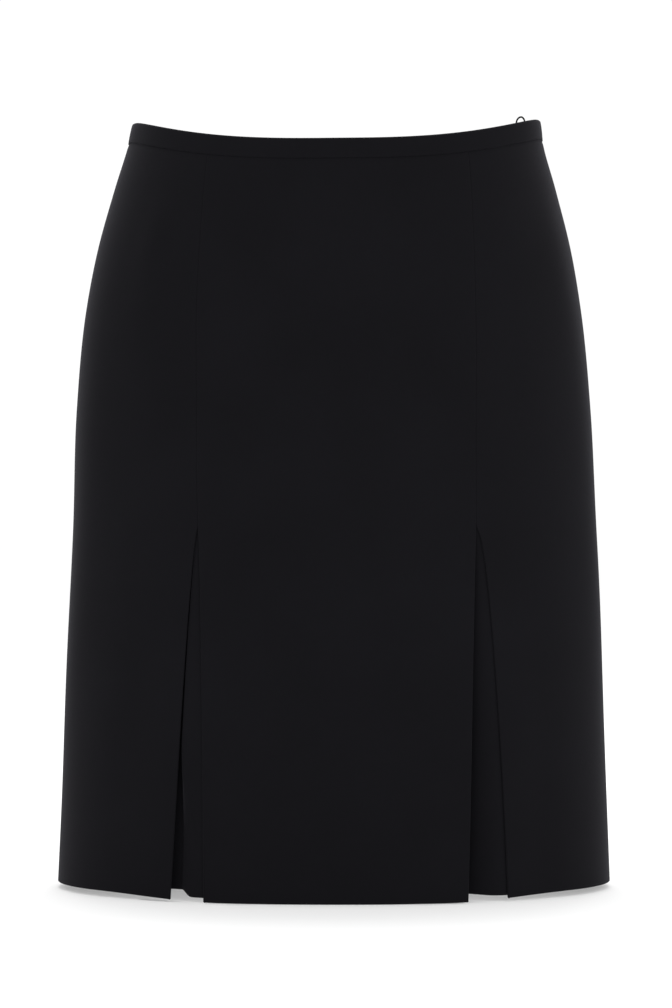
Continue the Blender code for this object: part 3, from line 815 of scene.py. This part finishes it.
def make_band(node, first, last):
    around = abs(last - first) * GIRTH_PER_TURN
    close = np.array(BAND_END_COLUMNS) / around
    shares = np.unique(np.concatenate([np.linspace(0, 1, int(around / COLUMN_STEP)), close, 1 - close]))
    turns = first + (last - first) * shares
    from_end = np.minimum(shares, 1 - shares) * around
    ease = BAND_END_SINK * np.exp(-((from_end / BAND_END_WIDTH) ** 2))
    uneven = BAND_WAVE * np.sin(turns * 9 + np.sin(turns * 5.3))
    rows = []
    for depth, down in band_profile():
        outside = 1.0 if depth < 0 else 0.0
        rows.append(wall_point(turns, waist_drop(turns) + down, depth + outside * (ease + uneven)))
    add_mesh("cloth_" + node, [sheet_solid(np.array(rows), CLOTH)], suiting, [node])


def make_waistband():
    press = float(turn_for(SEAM_PRESS / 2, QUARTER, 0.0))
    back_end = float(turn_for(BAND_BACK_END, math.pi, 0.0))
    make_band("waistband_front", -QUARTER - press, QUARTER + press)
    make_band("waistband_back_left", QUARTER - press, math.pi - back_end)
    make_band("waistband_back_right", back_end - math.pi, -QUARTER + press)


# ---- zip ----

BACK_WAIST = float(waist_drop(math.pi))  # the drop of the waist edge at the centre back


def make_tape(name, side):
    drops = even(BACK_WAIST + TAPE_TOP, BACK_WAIST + TAPE_TOP + ZIP_LENGTH, TAPE_ROW_STEP)
    across = np.linspace(0, 1, TAPE_COLUMNS + 1)
    rib = TAPE_RIB * np.cos(across * TAPE_COLUMNS * math.pi)
    rows = []
    for drop in drops:
        along = TAPE_FROM_MIDDLE + TAPE_WIDTH * across
        turns = side * (math.pi - turn_for(along, math.pi, drop))
        row = wall_point(turns, drop, TAPE_DEPTH + TAPE_RIB + rib)
        rows.append(row[::-1] if side > 0 else row)
    node = f"zip_tape_{name}"
    add_mesh("woven_" + node, [sheet_solid(np.array(rows), TAPE_CLOTH)], tape_weave, [node])


def make_coil(name, side):
    """One side's coil of elements, from the slider down to the tapes' lower end."""
    start = BACK_WAIST + SLIDER_DROP + SLIDER_LENGTH / 2 - COIL_UNDER_SLIDER
    end = BACK_WAIST + TAPE_TOP + ZIP_LENGTH - ZIP_END_CLEAR
    phase = np.arange(0, (end - start) / COIL_PITCH, 1 / COIL_STEPS) * 2 * math.pi
    drop = start + COIL_PITCH * phase / (2 * math.pi)
    swing = phase + QUARTER * side
    across = TAPE_FROM_MIDDLE - COIL_INWARDS - COIL_WIDTH / 2 * np.cos(swing)
    out = TAPE_DEPTH + TAPE_WALL + COIL_HEIGHT / 2 + COIL_WIRE / 2 + COIL_HEIGHT / 2 * np.sin(swing)
    turns = side * (math.pi - turn_for(1.0, math.pi, drop) * across)
    path = wall_point(turns, drop, out)
    add_mesh(f"zip_coil_{name}", [tube(path, COIL_WIRE / 2, TUBE_SIDES)], nylon)


# ---- stitches ----

HEM_STITCH_CLEAR = 0.00012  # off the cloth
BAND_STITCH_CLEAR = 0.0001
TAPE_STITCH_CLEAR = 0.00008


def stitch(start, finish, lift):
    """A short stitch as a closed tube, pulled in at both ends."""
    path = start + (finish - start) * STITCH_STEPS[:, None]
    path = path + lift * np.sin(math.pi * STITCH_STEPS)[:, None]
    return tube(path, STITCH_RADIUS * STITCH_TAPER, TUBE_SIDES)


def inward(turn, drop, more):
    """The step from the outer face to a depth inside it."""
    return wall_point(turn, drop, more) - wall_point(turn, drop, 0)


def stitch_hem():
    hem = []
    step = HEM_STITCH_STEP / GIRTH_PER_TURN
    lean = step * HEM_STITCH_LEAN
    turn = -math.pi + step / 2
    while turn < math.pi:
        drop = float(hem_drop(turn)) - HEM_UP + HEM_EDGE_BELOW
        x = abs(math.sin(turn) * float(at_drop("half_width", drop)))
        pleated = math.cos(turn) > 0 and PLEATED_FROM < x < PLEATED_TO
        if not pleated:
            start = wall_point(turn - lean, drop - HEM_STITCH_UP, CLOTH)
            finish = wall_point(turn + lean, drop + HEM_STITCH_DOWN, TURN_RADIUS * 2 + HEM_STITCH_CLEAR)
            hem.append(stitch(start, finish, inward(turn, drop, HEM_STITCH_LIFT)))
        turn += step
    add_mesh("hem_stitches", hem, thread)


def stitch_waistband():
    band = []
    step = BAND_STITCH_STEP / GIRTH_PER_TURN
    depth = BAND_WALL - BAND_PROUD + BAND_STITCH_CLEAR
    turn = -math.pi + step * 1.5
    while turn < math.pi - step:
        drop = float(waist_drop(turn)) + BAND_HEIGHT - BAND_STITCH_ABOVE
        start = wall_point(turn, drop, depth)
        finish = wall_point(turn + step * BAND_STITCH_LENGTH, drop + BAND_STITCH_SLANT, depth)
        band.append(stitch(start, finish, inward(turn, drop, BAND_STITCH_LIFT)))
        turn += step
    add_mesh("waistband_stitches", band, thread)


def stitch_tapes():
    tape = []
    depth = TAPE_DEPTH + TAPE_CLOTH + TAPE_STITCH_CLEAR
    drops = even(BACK_WAIST + TAPE_STITCH_FROM, BACK_WAIST + ZIP_LENGTH - ZIP_END_CLEAR, TAPE_STITCH_STEP)
    for side in (-1, 1):
        for drop in drops[:-1]:
            turn = side * (math.pi - turn_for(TAPE_STITCH_LINE, math.pi, drop))
            start = wall_point(turn, drop, depth)
            finish = wall_point(turn, drop + TAPE_STITCH_LENGTH, depth)
            tape.append(stitch(start, finish, inward(turn, drop, TAPE_STITCH_LIFT)))
    add_mesh("zip_tape_stitches", tape, thread)


# ---- cord loop ----


def smooth_route(points, steps):
    """Points on a smooth curve through the given ones, steps of them for each stretch."""
    padded = [2 * points[0] - points[1], *points, 2 * points[-1] - points[-2]]
    found = []
    for before, start, finish, after in zip(padded, padded[1:], padded[2:], padded[3:]):
        for step in range(steps):
            share = step / steps
            found.append(
                0.5 * ((2 * start) + (finish - before) * share
                       + (2 * before - 5 * start + 4 * finish - after) * share**2
                       + (3 * start - before - 3 * finish + after) * share**3)
            )
    return np.array([*found, points[-1]])


def make_loop():
    """A thin laid cord along the CAD's route, and the tacks that hold its two ends to the waistband."""
    middle = float(turn_at(LOOP_X - SECTIONS[0].middle_x, 0.0))
    depth = BAND_WALL - BAND_PROUD + LOOP_CLEAR + LOOP_DIAMETER / 2
    edge = float(waist_drop(middle))
    route = [
        wall_point(middle + turn_for(point.along, middle, 0.0), edge - point.up, depth)
        for point in LOOP_ROUTE
    ]
    path = smooth_route(route, CORD_STEPS)
    laid = tube(path, LOOP_DIAMETER / 2, CORD_SIDES, CORD_STRANDS)
    cord = add_mesh("loop_cord", [laid], cord_weave, ["hanger_loop"])
    out = inward(middle, edge, 1.0)
    across = np.cross(out, [0, 0, 1])
    tacks = []
    for ends in ((path[TACK_FROM], path[TACK_TO]), (path[-1 - TACK_FROM], path[-1 - TACK_TO])):
        for place in np.linspace(*ends, TACKS):
            start = place - across * TACK_REACH - out * TACK_REACH
            finish = place + across * TACK_REACH - out * TACK_REACH
            tacks.append(stitch(start, finish, out * TACK_LIFT))
    made = add_mesh("loop_tacks", tacks, thread)


# ---- materials ----


def new_material(name, base, roughness, **constants):
    material = bpy.data.materials.new(name)
    material.use_nodes = True
    shader = material.node_tree.nodes["Principled BSDF"]
    shader.inputs["Base Color"].default_value = (*base, 1)
    shader.inputs["Roughness"].default_value = roughness
    for socket, value in constants.items():
        shader.inputs[socket.replace("_", " ")].default_value = value
    return material, material.node_tree, shader


def computed(tree, operation, *values):
    node = tree.nodes.new("ShaderNodeMath")
    node.operation = operation
    for socket, value in zip(node.inputs, values):
        if isinstance(value, bpy.types.NodeSocket):
            tree.links.new(value, socket)
        else:
            socket.default_value = value
    return node.outputs[0]


def times(tree, first, second):
    return computed(tree, "MULTIPLY", first, second)


def plus(tree, first, second):
    return computed(tree, "ADD", first, second)


def noise(tree, place, scale, detail=2.0):
    node = tree.nodes.new("ShaderNodeTexNoise")
    node.inputs["Scale"].default_value = scale
    node.inputs["Detail"].default_value = detail
    tree.links.new(place, node.inputs["Vector"])
    return node.outputs["Fac"]


def ramp(tree, value, low, high, from_low=0.3, from_high=0.7):
    """A value mapped from one range to another."""
    node = tree.nodes.new("ShaderNodeMapRange")
    tree.links.new(value, node.inputs["Value"])
    numbers = {"From Min": from_low, "From Max": from_high, "To Min": low, "To Max": high}
    for socket, number in numbers.items():
        node.inputs[socket].default_value = number
    return node.outputs["Result"]


def colour(tree, shader, value, first, second):
    """Gives a shader a base colour between two, by a value from 0 to 1."""
    node = tree.nodes.new("ShaderNodeMix")
    node.data_type = "RGBA"
    tree.links.new(value, node.inputs["Factor"])
    node.inputs["A"].default_value = (*first, 1)
    node.inputs["B"].default_value = (*second, 1)
    tree.links.new(node.outputs["Result"], shader.inputs["Base Color"])


def roughen(tree, shader, value, low, high):
    tree.links.new(ramp(tree, value, low, high), shader.inputs["Roughness"])


def bump(tree, shader, height, strength, distance):
    node = tree.nodes.new("ShaderNodeBump")
    node.inputs["Strength"].default_value = strength
    node.inputs["Distance"].default_value = distance
    tree.links.new(height, node.inputs["Height"])
    tree.links.new(node.outputs["Normal"], shader.inputs["Normal"])


def own_place(tree):
    return tree.nodes.new("ShaderNodeTexCoord").outputs["Object"]


def cloth_directions(tree, place):
    """Metres round the garment and up it, from a point's own place."""
    split = tree.nodes.new("ShaderNodeSeparateXYZ")
    tree.links.new(place, split.inputs[0])
    forward = times(tree, split.outputs["Y"], -1.0)
    turn = computed(tree, "ARCTAN2", split.outputs["X"], forward)
    return times(tree, turn, GIRTH_PER_TURN), split.outputs["Z"]


def wave(tree, value, pitch):
    return computed(tree, "SINE", times(tree, value, 2 * math.pi / pitch))


def make_suiting():
    """Black suiting: a fine twill, slightly uneven in colour, with a soft sheen where it turns away."""
    material, tree, shader = new_material("black_suiting_cloth", SUIT_DARK, 0.85, **SUIT_SURFACE)
    place = own_place(tree)
    around, up = cloth_directions(tree, place)
    rib = wave(tree, plus(tree, around, times(tree, up, TWILL_SLOPE)), TWILL_PITCH)
    threads = times(tree, wave(tree, around, THREAD_PITCH), wave(tree, up, THREAD_PITCH))
    slub = noise(tree, place, scale=900.0, detail=3.0)
    weave = plus(tree, plus(tree, times(tree, rib, RIB_SHARE), times(tree, threads, THREAD_SHARE)), slub)
    broad = times(tree, noise(tree, place, scale=13.0, detail=3.0), BROAD_SHARE)
    cloudy = plus(tree, broad, times(tree, noise(tree, place, scale=420.0), 1 - BROAD_SHARE))
    colour(tree, shader, ramp(tree, cloudy, 0.0, 1.0), SUIT_DARK, SUIT_LIGHT)
    roughen(tree, shader, slub, low=0.80, high=0.92)
    bump(tree, shader, weave, strength=0.25, distance=0.00008)
    return material


def make_tape_weave():
    surface = {"Sheen_Weight": 0.06, "Specular_IOR_Level": 0.12}
    material, tree, shader = new_material("zip_tape_weave", TAPE_DARK, 0.75, **surface)
    place = own_place(tree)
    around, up = cloth_directions(tree, place)
    ribs = times(tree, wave(tree, up, TAPE_RIB_PITCH), wave(tree, around, TAPE_THREAD_PITCH))
    colour(tree, shader, ramp(tree, ribs, 0.0, 1.0, from_low=-1.0, from_high=1.0), TAPE_DARK, TAPE_LIGHT)
    roughen(tree, shader, noise(tree, place, scale=700.0), low=0.68, high=0.82)
    bump(tree, shader, ribs, strength=0.5, distance=0.0001)
    return material


def make_thread():
    surface = {"Sheen_Weight": 0.05, "Specular_IOR_Level": 0.15}
    material, tree, shader = new_material("black_thread", THREAD_DARK, 0.6, **surface)
    fuzz = noise(tree, own_place(tree), scale=2500.0)
    colour(tree, shader, ramp(tree, fuzz, 0.0, 1.0), THREAD_DARK, THREAD_LIGHT)
    roughen(tree, shader, fuzz, low=0.5, high=0.7)
    return material


def make_cord_weave():
    surface = {"Sheen_Weight": 0.03, "Specular_IOR_Level": 0.08}
    material, tree, shader = new_material("black_cord_lay", CORD_DARK, 0.65, **surface)
    fuzz = noise(tree, own_place(tree), scale=3000.0, detail=3.0)
    colour(tree, shader, ramp(tree, fuzz, 0.0, 1.0), CORD_DARK, CORD_LIGHT)
    roughen(tree, shader, fuzz, low=0.55, high=0.75)
    bump(tree, shader, fuzz, strength=0.4, distance=0.00005)
    return material


def make_nylon():
    material, tree, shader = new_material("black_nylon", NYLON_DARK, 0.4, Specular_IOR_Level=0.25)
    roughen(tree, shader, noise(tree, own_place(tree), scale=800.0), low=0.28, high=0.45)
    return material


def make_lacquer():
    """Black lacquer on metal, slightly uneven and lightly scuffed."""
    surface = {"Specular_IOR_Level": 0.15, "Coat_Weight": 0.12, "Coat_Roughness": 0.2}
    material, tree, shader = new_material("black_lacquer", LACQUER_DARK, 0.35, **surface)
    place = own_place(tree)
    worn = noise(tree, place, scale=260.0, detail=4.0)
    colour(tree, shader, ramp(tree, worn, 0.0, 1.0), LACQUER_DARK, LACQUER_LIGHT)
    roughen(tree, shader, worn, low=0.24, high=0.42)
    bump(tree, shader, noise(tree, place, scale=900.0, detail=3.0), strength=0.12, distance=0.00003)
    return material


suiting = make_suiting()
tape_weave = make_tape_weave()
thread = make_thread()
cord_weave = make_cord_weave()
nylon = make_nylon()
lacquer = make_lacquer()

# ---- the pieces ----

make_loop()
make_fronts()
make_underlay("left")
make_underlay("right")
make_backs()
make_waistband()
make_tape("left", 1)
make_tape("right", -1)
make_coil("left", 1)
make_coil("right", -1)
stitch_hem()
stitch_waistband()
stitch_tapes()

for node in ("zip_slider", "zip_pull"):
    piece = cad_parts[node]
    for material_slot in piece.material_slots:
        material_slot.material = lacquer
    rounded = piece.modifiers.new("rounded", "BEVEL")
    rounded.width = METAL_EDGE
    rounded.segments = METAL_EDGE_STEPS
    rounded.limit_method = "ANGLE"
    rounded.angle_limit = METAL_EDGE_ANGLE

# A record for the cut of a piece of cloth with its hem, returns and allowances, in metres and square
# metres; no piece is given one here.
Cut = namedtuple("Cut", "width length area held rests_on")

# ---- floor and light ----

FLOOR_Z = -LENGTH - 0.0006  # just under the lowest point of the hem
FAR = 20  # half the floor's side
floor_mesh = bpy.data.meshes.new("floor")
corners = ((-FAR, -FAR), (FAR, -FAR), (FAR, FAR), (-FAR, FAR))
floor_mesh.from_pydata([(x, y, FLOOR_Z) for x, y in corners], [], [(0, 1, 2, 3)])
floor = bpy.data.objects.new("floor", floor_mesh)
floor_material, _, floor_shader = new_material("white_floor", (FLOOR_WHITE,) * 3, 0.9)
floor_shader.inputs["Specular IOR Level"].default_value = 0.0
floor_shader.inputs["Emission Color"].default_value = (1, 1, 1, 1)
floor_shader.inputs["Emission Strength"].default_value = FLOOR_GLOW
floor_mesh.materials.append(floor_material)
bpy.context.scene.collection.objects.link(floor)

world = bpy.data.worlds.new("studio")
world.use_nodes = True
world.node_tree.nodes["Background"].inputs["Color"].default_value = (1, 1, 1, 1)
world.node_tree.nodes["Background"].inputs["Strength"].default_value = WORLD_LIGHT
bpy.context.scene.world = world


def soft_light(name, place, aim, width, height, power):
    data = bpy.data.lights.new(name, "AREA")
    data.shape = "RECTANGLE"
    data.size = width
    data.size_y = height
    data.energy = power
    lamp = bpy.data.objects.new(name, data)
    lamp.location = place
    lamp.rotation_euler = (Vector(aim) - Vector(place)).to_track_quat("-Z", "Y").to_euler()
    bpy.context.scene.collection.objects.link(lamp)


soft_light("key", (1.3, -2.9, 0.7), aim=(0, 0, -0.25), width=1.6, height=2.0, power=KEY_POWER)
soft_light("overhead", (0, 0.85, 2.6), aim=(0, 0, -0.5), width=1.2, height=1.0, power=OVERHEAD_POWER)
bpy.context.scene.view_settings.view_transform = "Standard"
